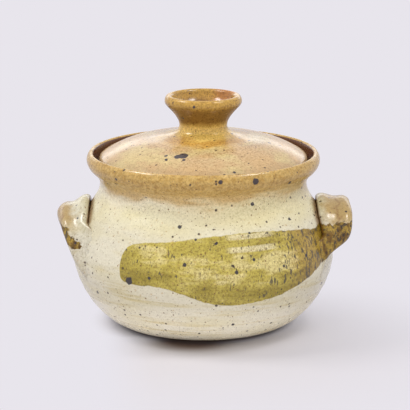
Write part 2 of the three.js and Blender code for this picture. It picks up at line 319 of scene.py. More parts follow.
# %% Lamps
LAMP_AIM = Vector((0, 0, 0.09))
LAMPS = {
    "box_left": {"toward": (-0.58, 0.02, 0.81), "away": 1.3, "size": (0.5, 0.34), "watts": 8.0},
    "box_right": {"toward": (0.46, -0.1, 0.88), "away": 1.3, "size": (0.34, 0.28), "watts": 5.0},
    "box_behind": {"toward": (0, 0.95, 0.3), "away": 1.6, "size": (2.6, 0.3), "watts": 3.6},
    "front_high": {"toward": (0.1, -0.45, 0.89), "away": 1.7, "size": (1.3, 0.7), "watts": 6.0},
    "front_low": {"toward": (0, -1, 0), "away": 1.6, "size": (2.4, 0.16), "watts": 14.0},
}

for name, values in LAMPS.items():
    lamp = bpy.data.lights.new(name, "AREA")
    lamp.shape = "RECTANGLE"
    lamp.size, lamp.size_y = values["size"]
    lamp.energy = values["watts"]
    held = bpy.data.objects.new(name, lamp)
    toward = Vector(values["toward"]).normalized()
    held.location = LAMP_AIM + toward * values["away"]
    held.rotation_euler = (-toward).to_track_quat("-Z", "Y").to_euler()
    held.visible_glossy = name.startswith("box")
    bpy.context.scene.collection.objects.link(held)
    print(name, "at", [round(c, 2) for c in held.location])


# %% [markdown]
# Turned forms. A thrown pot is its outline turned about an upright axis, so each turned
# piece starts from its CAD node: a cut through the middle gives the outline. That outline
# has few corners, and two rounds of softening make it run smoothly: each round halves
# every edge and pulls the old corners half way towards their new neighbours.

# %% Outline tools
WELD = 0.01 * MM
SPIN_STEPS = 144


def cut_outline(node):
    """The closed outline of a turned node where the plane y = 0 cuts it."""
    form = bmesh.new()
    form.from_mesh(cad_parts[node].data)
    bmesh.ops.remove_doubles(form, verts=form.verts[:], dist=WELD)
    bmesh.ops.bisect_plane(
        form,
        geom=form.verts[:] + form.edges[:] + form.faces[:],
        dist=0.1 * WELD,
        plane_co=(0, 0, 0),
        plane_no=(0, 1, 0),
        clear_inner=True,
        clear_outer=True,
    )
    print(node, "outline:", len(form.verts), "corners")
    return form


def soften(form, rounds=2):
    for _ in range(rounds):
        halved = bmesh.ops.subdivide_edges(form, edges=form.edges[:], cuts=1)
        added = set(halved["geom_inner"])
        corners = [vert for vert in form.verts if vert not in added]
        bmesh.ops.smooth_vert(form, verts=corners, factor=0.5, use_axis_x=True, use_axis_z=True)


def keep_right_half(form):
    bmesh.ops.bisect_plane(
        form,
        geom=form.verts[:] + form.edges[:],
        dist=0.1 * WELD,
        plane_co=(0, 0, 0),
        plane_no=(1, 0, 0),
        clear_inner=True,
    )


def turn(form):
    """Spins a half outline about the upright axis into a closed, outward-facing skin."""
    bmesh.ops.spin(
        form,
        geom=form.verts[:] + form.edges[:],
        cent=(0, 0, 0),
        axis=(0, 0, 1),
        angle=math.tau,
        steps=SPIN_STEPS,
        use_merge=True,
    )
    bmesh.ops.remove_doubles(form, verts=form.verts[:], dist=0.1 * WELD)
    bmesh.ops.recalc_face_normals(form, faces=form.faces[:])
    form.normal_update()


# %% Finished pieces
def finish_piece(form, name, body, slot, *nodes):
    """Makes a mesh object of a form, in the place of its CAD nodes."""
    mesh = bpy.data.meshes.new(name)
    form.to_mesh(mesh)
    form.free()
    for face in mesh.polygons:
        face.use_smooth = True
    made = bpy.data.objects.new(name, mesh)
    bpy.context.scene.collection.objects.link(made)
    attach(made, body)
    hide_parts(*nodes)
    triangles = sum(len(face.vertices) - 2 for face in mesh.polygons)
    print(name, "has", triangles, "triangles")
    return made


# %% [markdown]
# The pot's wall. The thrower's fingers leave a shallow spiral in the clay as the wheel
# turns, deeper inside than outside. The rings could be bump in the material, but they
# also bend the highlights and the edge of the pot, so they are moved into the mesh.

# %% Throwing rings
OUTER_RING_DEPTH = 0.16 * MM
OUTER_RING_PITCH = 8.5 * MM
INNER_RING_DEPTH = 0.5 * MM
INNER_RING_PITCH = 12 * MM
FINER_RINGS = 2.3
FINER_SHARE = 0.3
RINGS_START = 10 * MM
RINGS_END = 108 * MM
RINGS_FADE = 14 * MM


def spiral(height, angle, depth, pitch):
    """How far the spiral moves the wall at a height and an angle about the axis."""
    turn_share = angle / math.tau
    main = math.sin(math.tau * (height / pitch + turn_share))
    finer = math.sin(math.tau * (FINER_RINGS * height / pitch - turn_share) + math.sin(angle))
    return depth * ((1 - FINER_SHARE) * main + FINER_SHARE * finer)


def ring_share(height):
    """The rings fade out towards the foot and the rim, where a rib smoothed them."""
    above = (height - RINGS_START) / RINGS_FADE
    below = (RINGS_END - height) / RINGS_FADE
    return max(0.0, min(1.0, above, below))


def outer_rings(height, angle):
    return ring_share(height) * spiral(height, angle, OUTER_RING_DEPTH, OUTER_RING_PITCH)


def inner_rings(height, angle):
    return ring_share(height) * spiral(height, angle, INNER_RING_DEPTH, INNER_RING_PITCH)


# %% Thrown pot
POT_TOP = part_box("pot_body")[1].z
RIM_HEIGHT = 23.5 * MM
NECK_HEIGHT = POT_TOP - RIM_HEIGHT

form = cut_outline("pot_body")
soften(form)
keep_right_half(form)
wall_edges = [[(v.co.z, v.co.x) for v in edge.verts] for edge in form.edges]


# %% Radius of the wall
def wall_radius(height):
    """The outside radius of the pot at a height, read from its outline."""
    found = 0.0
    for (z1, r1), (z2, r2) in wall_edges:
        if min(z1, z2) <= height <= max(z1, z2) and z1 != z2:
            found = max(found, r1 + (r2 - r1) * (height - z1) / (z2 - z1))
    return found


WALL_STEP = 0.5 * MM
wall_table = [wall_radius(i * WALL_STEP) for i in range(int(POT_TOP / WALL_STEP))]


def wall_at(height):
    """The same radius, looked up in a list that was measured once."""
    place = max(0.0, min(height / WALL_STEP, len(wall_table) - 2))
    i = int(place)
    return wall_table[i] + (wall_table[i + 1] - wall_table[i]) * (place - i)


print("belly radius in mm:", round(max(wall_table) / MM, 1))

# %% Rings on the wall
UNDER_FOOT = 4 * MM
HALF_WALL = 3 * MM
LIP_EDGE = 1 * MM

turn(form)
inside = form.verts.layers.float.new("inside")
for vert in form.verts:
    out = Vector((vert.co.x, vert.co.y, 0))
    height = vert.co.z
    angle = math.atan2(vert.co.x, -vert.co.y)
    within = out.length < wall_at(height) - HALF_WALL and UNDER_FOOT < height < POT_TOP - LIP_EDGE
    vert[inside] = 1.0 if within else 0.0
    shift = -inner_rings(height, angle) if within else outer_rings(height, angle)
    vert.co += out.normalized() * shift
pot = finish_piece(form, "thrown_pot", "pot", "cream_glaze", "pot_body")


# %% [markdown]
# The lid and its knob. The knob was thrown onto the lid, so on the real one there is no
# line between them. The CAD lid has a shallow seat for the knob: its corners are lifted
# here, so that the dome runs on under the knob. The knob's edge is drawn out over the dome
# and sunk just below it, so that the two meet at a very flat angle, without a crease.

# %% Thrown lid
LID_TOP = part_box("lid_dome")[1].z
KNOB_BASE_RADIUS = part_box("lid_knob")[1].x
SEAT_EDGE = KNOB_BASE_RADIUS + 0.5 * MM
SEAT_FLOOR_FROM, SEAT_FLOOR_TO = LID_TOP - 2 * MM, LID_TOP - 0.5 * MM
DOME_RISE_UNDER_KNOB = 1.2 * MM

form = cut_outline("lid_dome")
for vert in form.verts:
    if abs(vert.co.x) < SEAT_EDGE and SEAT_FLOOR_FROM < vert.co.z < SEAT_FLOOR_TO:
        vert.co.x *= 0.5
        vert.co.z = LID_TOP + DOME_RISE_UNDER_KNOB
soften(form)
keep_right_half(form)
turn(form)
lid = finish_piece(form, "thrown_lid", "lid", "ochre_glaze", "lid_dome")

# %% Thrown knob
TOP_OF_EDGE = (10 * MM, 1.2 * MM)
FOOT_OF_EDGE = (22 * MM, 2.6 * MM)
EDGE_TOP_FROM = LID_TOP - 0.4 * MM

form = cut_outline("lid_knob")
for vert in form.verts:
    if abs(vert.co.x) > KNOB_BASE_RADIUS - 1 * MM and vert.co.z < LID_TOP + 1 * MM:
        drawn_out, sunk = FOOT_OF_EDGE if vert.co.z < EDGE_TOP_FROM else TOP_OF_EDGE
        vert.co.x += math.copysign(drawn_out, vert.co.x)
        vert.co.z -= sunk
soften(form)
keep_right_half(form)
turn(form)
knob = finish_piece(form, "thrown_knob", "lid", "amber_glaze", "lid_knob")


# %% [markdown]
# The handles. Each is a strap of clay pulled out by hand, bent into an arch and pressed
# onto the belly by its two ends. A ring of corners is made once, and then extruded from
# place to place along the arch. Each ring takes the strap's section there: a rounded bar
# with two ridges along its outer face, which flares out where it was smoothed down.

# %% Strap values
STRAP_AROUND = 72
STRAP_STEPS = 144
STRAP_THICK = 8.6 * MM
CREST_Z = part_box("handle_right")[1].z - STRAP_THICK / 2
STRAP_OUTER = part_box("handle_right")[1].x - 0.1 * MM
CREST_INSET = 0.8 * MM
BEND_DEGREES = 42
ARCH_SPREAD = 34 * MM
ARCH_DROP = 25 * MM
BELLY_Z = 56 * MM
BITE = 12 * MM
LEG_THICKER = 1 * MM
ROOT_THICKER = 3 * MM
ROOT_SPREAD = 4 * MM
TAIL_SPREAD = 6 * MM
TAIL_DROP = 13 * MM
TAIL_SUNK = 3 * MM
STRAP_SHAPES = {
    "left": {
        "crest_tilt": 11 * MM,
        "bend_tuck": 3.6 * MM,
        "leg_degrees": 76,
        "leg_tuck": 7.5 * MM,
        "root_height": BELLY_Z - 1 * MM,
        "root_proud": 3.6 * MM,
        "slot": 2.6 * MM,
        "slot_end": 0.18,
        "leg_start": 0.31,
        "flare": 20 * MM,
        "relief": 1.3 * MM,
    },
    "right": {
        "crest_tilt": 3.6 * MM,
        "bend_tuck": 0 * MM,
        "leg_degrees": 83,
        "leg_tuck": 3.2 * MM,
        "root_height": BELLY_Z + 5 * MM,
        "root_proud": 2.5 * MM,
        "slot": 1.8 * MM,
        "slot_end": 0.23,
        "leg_start": 0.34,
        "flare": 8 * MM,
        "relief": 0.9 * MM,
    },
}
print("strap crest in mm:", round(CREST_Z / MM, 1), "high,", round(STRAP_OUTER / MM, 1), "out")


# %% Places along the strap
def wall_x(y, z):
    """X of the pot's outside at a height, for a point that lies aside by y."""
    return math.sqrt(wall_at(z) ** 2 - y * y)


def on_arch(degrees):
    turn_angle = math.radians(degrees)
    y = ARCH_SPREAD * math.sin(turn_angle)
    return y, CREST_Z - ARCH_DROP * (1 - math.cos(turn_angle))


def strap_places(shape):
    """(y, z, outer x, thickness) from the near root over the crest to the far root."""
    bend = on_arch(BEND_DEGREES)
    leg = on_arch(shape["leg_degrees"])
    root = (ARCH_SPREAD + ROOT_SPREAD, shape["root_height"])
    tail = (ARCH_SPREAD + TAIL_SPREAD, BELLY_Z - TAIL_DROP)
    half = [
        (0, CREST_Z, STRAP_OUTER - CREST_INSET, STRAP_THICK),
        (*bend, STRAP_OUTER - shape["bend_tuck"], STRAP_THICK),
        (*leg, STRAP_OUTER - shape["leg_tuck"], STRAP_THICK + LEG_THICKER),
        (*root, wall_x(*root) + shape["root_proud"], STRAP_THICK + ROOT_THICKER),
        (*tail, wall_x(*tail) - TAIL_SUNK, STRAP_THICK + ROOT_THICKER),
    ]
    near = [(-y, *rest) for y, *rest in reversed(half[1:])]
    return near + half


# %% Smooth curve
def smooth_through(rows, share):
    """A smooth curve through rows of numbers, at a share from 0 to 1 of its length."""
    place = share * (len(rows) - 1)
    i = min(int(place), len(rows) - 2)
    t = place - i
    before, start, end, after = [rows[max(0, min(k, len(rows) - 1))] for k in range(i - 1, i + 3)]
    if i == 0:
        before = [2 * a - b for a, b in zip(start, end)]
    if i == len(rows) - 2:
        after = [2 * b - a for a, b in zip(start, end)]
    values = []
    for a, b, c, d in zip(before, start, end, after):
        speed_in, speed_out = (c - a) / 2, (d - b) / 2
        values.append(
            b * (2 * t**3 - 3 * t**2 + 1)
            + speed_in * (t**3 - 2 * t**2 + t)
            + c * (-2 * t**3 + 3 * t**2)
            + speed_out * (t**3 - t**2)
        )
    return values


# %% Section of the strap
SQUARED_UP = 0.62
RIDGE_WAVES = 1.45
RIDGE_FADE_INWARD = 0.4
RIDGE_FADE_ON_LEG = 0.8
CREST_FADE = 4


def squared(value):
    """Squares up a circle's sine or cosine, so that a section becomes a rounded bar."""
    return math.copysign(abs(value) ** SQUARED_UP, value)


def eased(value, low, high):
    share = max(0.0, min(1.0, (value - low) / (high - low)))
    return share * share * (3 - 2 * share)


def leg_share(share, shape):
    """0 along the crest, where the slot is, and 1 on the legs, which meet the wall."""
    return eased(abs(share - 0.5), shape["slot_end"], shape["leg_start"])


def strap_point(places, share, around, shape):
    """A point on the strap's skin, with how far across and through the strap it lies."""
    y, z, outer, thick = smooth_through(places, share)
    nearby = 1e-3
    y1, z1 = smooth_through(places, max(0, share - nearby))[:2]
    y2, z2 = smooth_through(places, min(1, share + nearby))[:2]
    along = Vector((0, y2 - y1, z2 - z1)).normalized()
    away = Vector((0, -along.z, along.y))
    leg = leg_share(share, shape)
    slot = shape["slot"] * max(0.0, 1 - abs(share - 0.5) / shape["slot_end"])
    inner = wall_x(y, z) + slot - BITE * leg
    across, through = squared(math.cos(around)), squared(math.sin(around))
    to_wall = 0.5 - 0.5 * across
    ridges = -shape["relief"] * math.cos(RIDGE_WAVES * math.pi * across)
    ridges = ridges * (1 - RIDGE_FADE_INWARD * to_wall) * (1 - RIDGE_FADE_ON_LEG * leg)
    crest = math.sin(math.pi * share) ** CREST_FADE
    offset = through * thick / 2
    offset += max(through, 0) * (ridges + shape["flare"] * leg * to_wall**2)
    offset -= shape["crest_tilt"] * crest * (1 - to_wall)
    middle = Vector(((inner + outer) / 2 + across * (outer - inner) / 2, y, z))
    return middle + away * offset, across, through


# %% [markdown]
# Soft clay doesn't meet a wall in a sharp corner. Each point of the strap is therefore
# moved by its height off the wall: near the wall it swings out in a small fillet, and
# what would lie inside the wall is kept just below its surface. On the legs, the outer
# face was also smeared down flat with a thumb.

# %% Pressed onto the wall
FILLET_AT_ROOT = 4 * MM
FILLET_AT_CREST = 0.4 * MM
SUNK_IN_WALL = 0.35 * MM
SMEAR_FROM, SMEAR_TO = 0.1, 0.94
FACE_FROM, FACE_TO = 0, 0.4


def pressed_on(point, share, across, through, shape):
    """Moves a point of the strap in or out, so that the strap runs out into the wall."""
    radius = math.hypot(point.x, point.y)
    angle = math.atan2(point.x, -point.y)
    slope = (wall_at(point.z + MM) - wall_at(point.z - MM)) / (2 * MM)
    lean = 1 / math.sqrt(1 + slope * slope)
    height_off = (radius - wall_at(point.z) - outer_rings(point.z, angle)) * lean
    leg = leg_share(share, shape)
    fillet = FILLET_AT_CREST + (FILLET_AT_ROOT - FILLET_AT_CREST) * leg
    target = height_off
    if through > 0 and height_off > -fillet:
        smeared = leg * eased(0.5 - 0.5 * across, SMEAR_FROM, SMEAR_TO)
        smeared *= eased(through, FACE_FROM, FACE_TO)
        target -= smeared * (height_off + fillet)
    if target < fillet:
        lifted = (target + fillet) ** 2 / (4 * fillet) if target > -fillet else 0.0
        target = lifted - SUNK_IN_WALL * (1 - lifted / fillet)
    scale = 1 + (target - height_off) / lean / radius
    return Vector((point.x * scale, point.y * scale, point.z))


# %% Pulled straps
POOL_DEPTH = 1 * MM
POOL_TOP = 5 * MM
WALL_SIDE = -0.6
slot_points = []


def strap_form(shape):
    """The strap's skin, with notes on each point for the glaze: how far along and across
    the strap it lies, and how deep in the slot, where glaze pools and shade is painted."""
    places = strap_places(shape)
    form = bmesh.new()
    number = form.verts.layers.int.new("number")
    notes = {name: form.verts.layers.float.new(name) for name in ("along", "across", "pooled_and_shaded")}
    ring = bmesh.ops.create_circle(form, segments=STRAP_AROUND, radius=1)["verts"]
    for i, vert in enumerate(ring):
        vert[number] = i
    edges = form.edges[:]
    for i in range(STRAP_STEPS + 1):
        share = i / STRAP_STEPS
        if i:
            grown = bmesh.ops.extrude_edge_only(form, edges=edges)["geom"]
            ring = [item for item in grown if isinstance(item, bmesh.types.BMVert)]
            edges = [item for item in grown if isinstance(item, bmesh.types.BMEdge)]
        for vert in ring:
            around = math.tau * vert[number] / STRAP_AROUND
            point, across, through = strap_point(places, share, around, shape)
            vert.co = pressed_on(point, share, across, through, shape)
            gap = math.hypot(vert.co.x, vert.co.y) - wall_at(vert.co.z)
            in_slot = 1 - eased(gap, POOL_DEPTH, POOL_TOP)
            vert[notes["along"]] = share
            vert[notes["across"]] = across
            # How deep in the slot: for pooled glaze and painted shade.
            vert[notes["pooled_and_shaded"]] = in_slot * (1 - leg_share(share, shape))
    bmesh.ops.contextual_create(form, geom=edges)
    bmesh.ops.contextual_create(form, geom=[e for e in form.edges if e.is_boundary])
    return form


def pulled_strap(side, shape):
    form = strap_form(shape)
    if side == "left":
        half_turn = Matrix.Rotation(math.pi, 3, "Z")
        bmesh.ops.rotate(form, verts=form.verts[:], cent=(0, 0, 0), matrix=half_turn)
    bmesh.ops.recalc_face_normals(form, faces=form.faces[:])
    notes = form.verts.layers.float
    along, across = notes["along"], notes["across"]
    for vert in form.verts:
        if abs(vert[along] - 0.5) < shape["slot_end"] and vert[across] < WALL_SIDE:
            slot_points.append(vert.co.copy())
    return finish_piece(form, "pulled_strap_" + side, "pot", "strap_glaze", "handle_" + side)


straps = {side: pulled_strap(side, shape) for side, shape in STRAP_SHAPES.items()}


# %% [markdown]
# Glaze pools in the slots between the straps and the wall, and shade falls there. The wall
# notes how near each of its points is to a slot, so that the glaze recipe can turn it a
# deeper ochre there: partly the pooled glaze, partly painted shade.

# %% Pooled glaze and painted shade
POOL_NEAR = 1.6 * MM
POOL_REACH = 6.5 * MM
SHOULDER_FROM = 60 * MM

near = KDTree(len(slot_points))
for i, point in enumerate(slot_points):
    near.insert(point, i)
near.balance()
pooled_and_shaded = pot.data.attributes.new("pooled_and_shaded", "FLOAT", "POINT")
for vert in pot.data.vertices:
    away = near.find(vert.co)[2] if vert.co.z > SHOULDER_FROM else POOL_REACH
    pooled_and_shaded.data[vert.index].value = 1 - eased(away, POOL_NEAR, POOL_REACH)
print("points in the slots:", len(slot_points))


# %% [markdown]
# The glazes. All the pieces came out of one kiln, so the recipes share their parts: where
# a point lies on the pot, how specks of iron burn through, and how the surface ripples.
# Each is worked out from the object's own coordinates, so the same glaze runs on from one
# piece to the next, and it stays in place when the lid is lifted.

# %% Glaze recipe
class Glaze(Recipe):
    """A recipe that knows where each point lies on a turned pot."""

    def __init__(self, name):
        super().__init__(bpy.data.materials.new(name))
        self.surface = self.tree.nodes["Principled BSDF"]
        self.place = self.node("ShaderNodeTexCoord").outputs["Object"]
        self.x, self.y, self.height = self.node("ShaderNodeSeparateXYZ", {0: self.place}).outputs
        squares = self.plus(self.times(self.x, self.x), self.times(self.y, self.y))
        self.radius = self.math("SQRT", squares)
        turned = self.math("ARCTAN2", self.x, self.times(self.y, -1))
        self.degrees = self.times(turned, 180 / math.pi)

    def note(self, name):
        """What was written on the points of the mesh under a name."""
        return self.node("ShaderNodeAttribute", attribute_name=name).outputs["Fac"]

    def wheel_noise(self, size, drawn_out):
        """Soft noise drawn out round the pot, like the streaks of a turning wheel."""
        lifted = self.times(self.plus(self.height, self.radius), drawn_out)
        place = self.node("ShaderNodeCombineXYZ", {0: self.x, 1: self.y, 2: lifted}).outputs[0]
        return self.noise(place, size, detail=3.0, roughness=0.6)

    def shaken(self, amount, size):
        """The place, moved about by up to amount, for edges that aren't ruled."""
        inputs = {"Vector": self.place, "Scale": 1 / size, "Detail": 2.0}
        noise = self.node("ShaderNodeTexNoise", inputs).outputs["Color"]
        centred = self.vector("SUBTRACT", noise, (0.5, 0.5, 0.5))
        scaled = self.node("ShaderNodeVectorMath", {0: centred, 3: 2 * amount}, operation="SCALE")
        return self.vector("ADD", self.place, scaled.outputs["Vector"])


# %% [markdown]
# Specks. A Voronoi texture splits space into cells, each with a random colour and a
# distance from its middle. One channel of the colour decides whether a cell holds a speck
# and how big it is, and the distance draws it as a small round dot.

# %% Specks and spots
SPECK_CHANCE = 0.5
SPECK_EDGE = 0.45
SPOT_EDGE = 0.25 * MM


def specks(glaze, spacing, smallest, biggest, seed, place):
    """Round specks of iron, one in about half of the cells of a given spacing."""
    moved = glaze.vector("ADD", place, (0.013 * seed, 0.029 * seed, 0.017 * seed))
    cells = glaze.node("ShaderNodeTexVoronoi", {"Vector": moved, "Scale": 1 / spacing})
    chance = glaze.node("ShaderNodeSeparateColor", {0: cells.outputs["Color"]}).outputs[0]
    limits = {"Value": chance, "From Min": SPECK_CHANCE, "From Max": 1.0}
    limits.update({"To Min": smallest / spacing, "To Max": biggest / spacing})
    reach = glaze.node("ShaderNodeMapRange", limits, clamp=True).outputs[0]
    depth = glaze.minus(reach, cells.outputs["Distance"])
    found = glaze.math("GREATER_THAN", chance, SPECK_CHANCE)
    return glaze.times(glaze.step(depth, 0.0, SPECK_EDGE * smallest / spacing), found)


def spots_share(glaze, spots, shaken):
    """Single spots, each given as (degrees, radius, height, size) in millimetres."""
    found = 0.0
    for degrees, radius, height, size in spots:
        turn_angle = math.radians(degrees)
        x, y = radius * math.sin(turn_angle), -radius * math.cos(turn_angle)
        distance = glaze.vector("DISTANCE", shaken, (x * MM, y * MM, height * MM))
        edge = size / 2 * MM
        mark = glaze.step(distance, edge + SPOT_EDGE, edge - SPOT_EDGE)
        found = glaze.math("MAXIMUM", found, mark)
    return found


# %% Iron specks
SPECK_DARK = screen(58, 42, 36)
SPECK_BROWN = screen(108, 74, 42)
SPECK_OCHRE = screen(176, 138, 80)
SPECK_BLUE = screen(44, 40, 50)
DUST = {"spacing": 1.5 * MM, "smallest": 0.26 * MM, "biggest": 0.5 * MM, "seed": 1}
SPECKS = (
    (4.0, 0.5, 1.0, SPECK_OCHRE, 0.4),
    (3.4, 0.42, 0.75, SPECK_BROWN, 0.85),
    (6.2, 0.75, 1.25, SPECK_DARK, 0.92),
    (13, 1.2, 1.9, SPECK_BLUE, 0.95),
)
SPOT_STRENGTH = 0.94


def add_specks(glaze, colour, dusty=0.5):
    """Burns iron specks into a glaze colour: dust, pale ochre ones and three dark sizes."""
    dust = specks(glaze, **DUST, place=glaze.place)
    colour = glaze.blend(glaze.times(dust, dusty), colour, SPECK_BROWN)
    shaken = glaze.shaken(0.5 * MM, 1.1 * MM)
    for i, (spacing, smallest, biggest, burnt, strength) in enumerate(SPECKS):
        found = specks(glaze, spacing * MM, smallest * MM, biggest * MM, i + 2, shaken)
        colour = glaze.blend(glaze.times(found, strength), colour, burnt)
    return colour


def add_spots(glaze, colour, spots):
    """Adds the few large iron spots, each in its own place."""
    share = spots_share(glaze, spots, glaze.shaken(0.9 * MM, 2.6 * MM))
    return glaze.blend(glaze.times(share, SPOT_STRENGTH), colour, SPECK_BLUE)


# %% Grain
GRAIN_SIZE = 1.7 * MM
GRAIN_DARK = (0.52, 0.44, 0.3)
GRAIN_PALE = (1.32, 1.32, 1.36)
GRAIN_REACH = 0.16


def add_grain(glaze, colour, strength):
    """Breaks a colour up into the fine light and dark grain of a stoneware glaze."""
    grain = glaze.noise(glaze.place, GRAIN_SIZE, detail=2.0, roughness=0.8)
    dark = glaze.times(glaze.step(grain, 0.5, 0.5 + GRAIN_REACH), strength)
    pale = glaze.times(glaze.step(grain, 0.5, 0.5 - GRAIN_REACH), strength)
    return glaze.tint(glaze.tint(colour, dark, GRAIN_DARK), pale, GRAIN_PALE)


# %% Glaze surface
GLAZE_IOR = 1.5
PATCH_SIZE = 9 * MM
LINE_SIZE, LINE_SHARE = 9 * MM, 0.7
PIT_SIZE, PIT_SHARE = 1.6 * MM, 0.3


def finish_glaze(glaze, colour, gloss_low, gloss_high, ripple):
    """Gives a glaze its colour, its uneven gloss and its fine ripple."""
    glaze.feed(glaze.surface.inputs["Base Color"], colour)
    patches = glaze.noise(glaze.place, PATCH_SIZE, detail=3.0)
    rough = glaze.step(patches, 0.3, 0.7, gloss_low, gloss_high)
    glaze.feed(glaze.surface.inputs["Roughness"], rough)
    glaze.surface.inputs["IOR"].default_value = GLAZE_IOR
    flat_lines = glaze.stretch(glaze.place, 1, 1, 9)
    lines = glaze.noise(flat_lines, LINE_SIZE, detail=4.0, roughness=0.6)
    pits = glaze.noise(glaze.place, PIT_SIZE, detail=2.0)
    height = glaze.plus(glaze.times(lines, LINE_SHARE), glaze.times(pits, PIT_SHARE))
    bump = glaze.node("ShaderNodeBump", {"Strength": 1.0, "Distance": ripple, "Height": height})
    glaze.feed(glaze.surface.inputs["Normal"], bump.outputs[0])
    print(glaze.owner.name, "has", len(glaze.tree.nodes), "nodes")
    return glaze.owner


# %% [markdown]
# The olive swipe. A wide brush loaded with iron glaze was drawn round the belly from a
# blunt start, over the handle and off behind it, once on each side of the pot. Two smooth
# curves give the swipe's upper and lower edge at each angle. Turning the back half of the
# pot by half a turn gives the second swipe from the same curves.

# %% Swipe outline
SWIPE_START = -38.5
SWIPE_TOP = (
    (SWIPE_START, 66), (-37.4, 74.5), (-34, 80.5), (-28, 83.2), (-15, 85.6), (5, 90),
    (31, 90.6), (46, 87.8), (55, 86.5), (62, 84), (70, 84.4), (78, 86.8),
    (88, 85), (100, 84.4), (106.6, 83), (110, 77), (113.2, 72.5), (114.6, 69.5),
)
SWIPE_BOTTOM = (
    (SWIPE_START, 66), (-38, 58), (-35.5, 53), (-31, 52.2), (-20, 52.6), (-8, 47.4),
    (5, 40), (12, 38.6), (28, 40.7), (43, 46.4), (61, 57), (76, 68),
    (90, 76), (102, 77), (108, 71), (111, 67.6), (113.4, 67), (114.6, 69.5),
)
print("swipe from", SWIPE_START, "to", SWIPE_TOP[-1][0], "degrees")

# %% Inside the swipe
FRONT_WINDOW = 62
SWIPE_EDGE = (-0.3 * MM, 0.6 * MM)
RAGGED = 2.2 * MM


def front_degrees(glaze):
    """Degrees from the front, with the back half turned by half a turn onto the front."""
    moved = glaze.plus(glaze.degrees, FRONT_WINDOW)
    return glaze.minus(glaze.math("FLOORED_MODULO", moved, 180), FRONT_WINDOW)


def swipe_share(glaze, degrees, ragged=RAGGED):
    """1 inside the swipe and 0 outside it, with a soft and slightly ragged edge."""
    wander = glaze.noise(glaze.place, 5 * MM, detail=3.0)
    height = glaze.plus(glaze.height, glaze.times(glaze.minus(wander, 0.5), ragged))
    top = glaze.curve(degrees, [(a, z * MM) for a, z in SWIPE_TOP], 0, 100 * MM)
    bottom = glaze.curve(degrees, [(a, z * MM) for a, z in SWIPE_BOTTOM], 0, 100 * MM)
    under = glaze.step(glaze.minus(top, height), *SWIPE_EDGE)
    over = glaze.step(glaze.minus(height, bottom), *SWIPE_EDGE)
    begun = glaze.step(degrees, SWIPE_START - 0.2, SWIPE_START + 0.2)
    return glaze.times(under, over, begun)


# %% [markdown]
# A glaze looks deeper where it lies thick. One tone, from 0 where the olive pooled to 1
# where the brush left it thin, is put together from streaks along the brush and soft
# clouds, and is then raised or lowered in the parts of the swipe that are pale or deep.
# Each part is given by the degrees from the front or the height where it starts and ends.

# %% Swipe tone
PALE_DEGREES = (-8, 18, 38, 62)
PALE_HEIGHTS = (56 * MM, 66 * MM, 72 * MM, 82 * MM)
PALER = 0.14
DEEP_BELOW = (62 * MM, 48 * MM)
DEEPER = 0.08
DEEP_RIGHT = (36, 58, 0.0, 0.08)
DEEP_LEFT = (-8, -26, 0.0, 0.07)
PALE_ABOVE = (66 * MM, 78 * MM, 0.0, 0.07)
PALE_LEFT = (8, -4)


def swipe_tone(glaze, degrees):
    """0 where the olive is deepest and 1 where it is palest."""
    brushed = glaze.stretch(glaze.place, 1, 1, 6)
    streaks = glaze.noise(brushed, 36 * MM, detail=4.0, roughness=0.6)
    clouds = glaze.noise(glaze.place, 16 * MM, detail=2.0)
    tone = glaze.plus(glaze.times(streaks, 0.5), glaze.times(clouds, 0.5))
    middle = glaze.band(glaze.height, *PALE_HEIGHTS)
    pale = glaze.times(glaze.band(degrees, *PALE_DEGREES), middle, PALER)
    low = glaze.times(glaze.step(glaze.height, *DEEP_BELOW), DEEPER)
    tone = glaze.minus(glaze.plus(tone, pale), low)
    ends = glaze.plus(glaze.step(degrees, *DEEP_RIGHT), glaze.step(degrees, *DEEP_LEFT))
    high = glaze.times(glaze.step(glaze.height, *PALE_ABOVE), glaze.step(degrees, *PALE_LEFT))
    return glaze.plus(glaze.minus(tone, ends), high)


# %% Painted glare rows and dashes
# Two pale rows high on the swipe, a painted highlight of glare.
GLARE_DEGREES = (9, 14, 30, 37)
GLARE_ROWS = ((80 * MM, 2.6 * MM), (88.6 * MM, 2.2 * MM))
GLARE_STRENGTH = 0.62
DASH_SIZE = 1.9 * MM
DASH_UPRIGHT = 0.26
DASH_LEVEL = (0.735, 0.785, 0.0, 0.84)
CROWD_SIZE = 8 * MM
CROWD_WANDER = 0.22
CROWD_DEGREES = (12, 58, 0.0, 0.09)


def painted_glare_rows(glaze, degrees):
    """Two pale level rows along the top of the swipe: a painted highlight of glare on the glaze.
    """
    rows = 0.0
    for middle, half in GLARE_ROWS:
        off = glaze.math("ABSOLUTE", glaze.minus(glaze.height, middle))
        rows = glaze.math("MAXIMUM", rows, glaze.step(off, half, half / 2))
    return glaze.times(glaze.band(degrees, *GLARE_DEGREES), rows, GLARE_STRENGTH)


def dark_dashes(glaze, degrees):
    """Small dark upright dashes of iron that crowd together towards the handle."""
    upright = glaze.stretch(glaze.place, 1, 1, DASH_UPRIGHT)
    dashes = glaze.noise(upright, DASH_SIZE, detail=3.0, roughness=0.6)
    crowd = glaze.noise(glaze.stretch(glaze.place, 1, 1, 0.6), CROWD_SIZE, detail=2.0)
    nearer = glaze.step(degrees, *CROWD_DEGREES)
    crowd = glaze.math("MULTIPLY_ADD", crowd, CROWD_WANDER, nearer)
    return glaze.step(glaze.plus(dashes, crowd), *DASH_LEVEL)


# %% Swipe colour
OLIVE_DEEP = screen(141, 124, 34)
OLIVE = screen(172, 155, 65)
OLIVE_PALE = screen(199, 184, 121)
